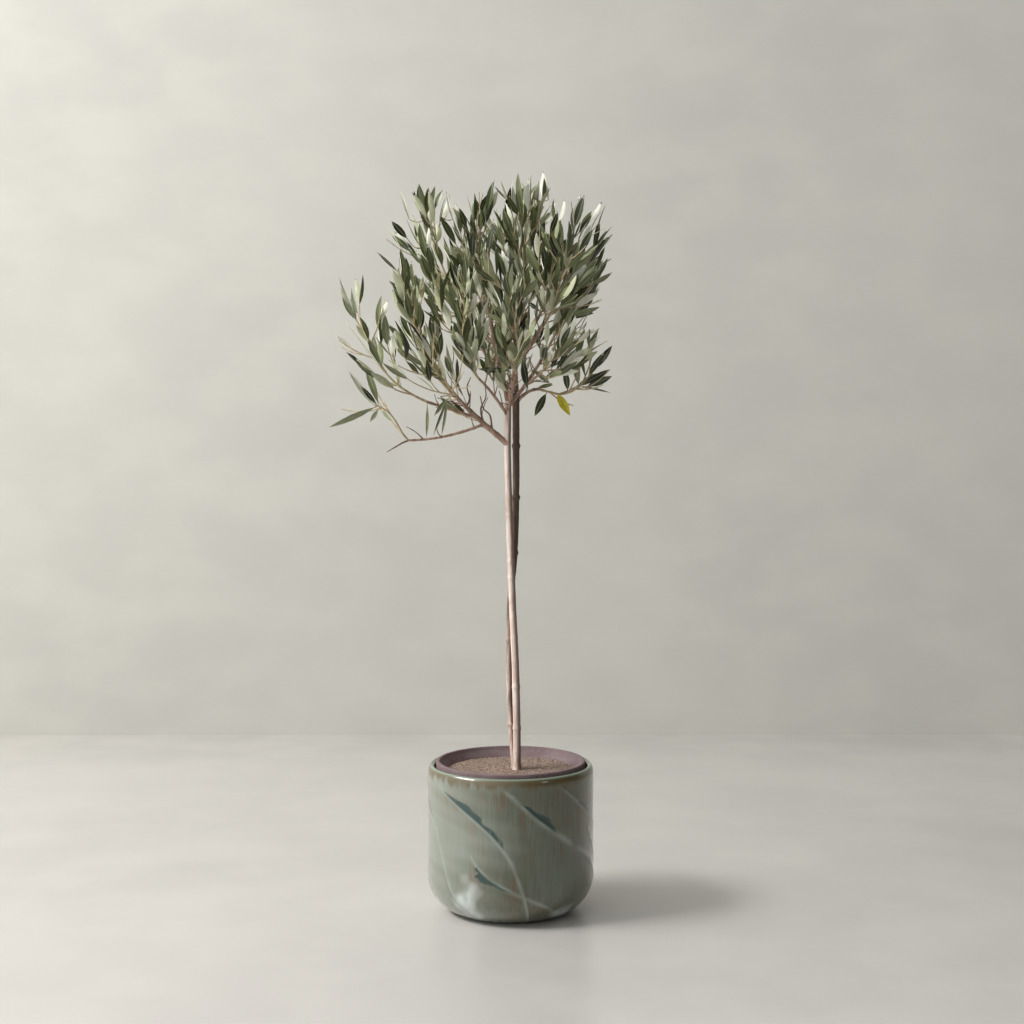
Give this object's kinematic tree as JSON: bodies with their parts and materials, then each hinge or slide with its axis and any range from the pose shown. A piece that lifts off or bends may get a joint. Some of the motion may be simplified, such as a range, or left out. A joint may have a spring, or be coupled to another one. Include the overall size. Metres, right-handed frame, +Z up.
{
  "type": "potted olive tree",
  "caption": "Slender olive tree with upright stems and a loose airy crown, growing in a clay pot that sits inside a glazed round-bottomed cover pot.",
  "frame": {"origin": "centre of the flat underside of the cover pot, on the surface that it stands on", "axes": "+Z up along the stems, -Y towards the viewer of the front, +X to the viewer's right; the long lowest shoot trails to -X"},
  "size_m": [0.4596, 0.3786, 1.1875],
  "materials": {
    "glaze": "glossy reactive glaze, sage green with pale raised lines, teal accents, fine brown streaks and a light rim over an ochre band",
    "clay": "matt mauve-brown unglazed clay",
    "soil": "dry sandy potting soil, grainy and matt",
    "pale_bark": "smooth pale pinkish-beige young bark",
    "dark_bark": "smooth brown bark with swollen nodes",
    "foliage": "narrow leaves, olive green and slightly glossy above, silvery grey-green below"
  },
  "bodies": {
    "root": {"cover_pot": "glaze", "clay_pot": "clay", "soil": "soil", "stem_front": "pale_bark", "stem_back": "dark_bark", "bough_left": "pale_bark", "bough_left_front": "pale_bark", "bough_left_low": "pale_bark", "bough_left_sweep": "pale_bark", "bough_left_inner": "pale_bark", "bough_left_high": "pale_bark", "bough_leader": "pale_bark", "bough_riser": "pale_bark", "bough_riser_right": "pale_bark", "bough_front_right": "pale_bark", "bough_right": "pale_bark", "bough_right_inner": "pale_bark", "bough_right_low": "pale_bark", "bough_leader_back": "pale_bark", "bough_back_left": "pale_bark", "bough_back_right": "pale_bark", "bough_back_low": "pale_bark", "bough_front_low": "pale_bark", "leaves_left_side": "foliage", "leaves_left_front": "foliage", "leaves_trail": "foliage", "leaves_left_long": "foliage", "leaves_front_left": "foliage", "leaves_top_left": "foliage", "leaves_top_middle": "foliage", "leaves_top": "foliage", "leaves_top_right": "foliage", "leaves_right": "foliage", "leaves_right_inner": "foliage", "leaves_right_low": "foliage", "leaves_top_back": "foliage", "leaves_back_left": "foliage", "leaves_back_right": "foliage", "leaves_back_low": "foliage", "leaves_front": "foliage", "leaves_front_right": "foliage"}
  },
  "joints": []
}
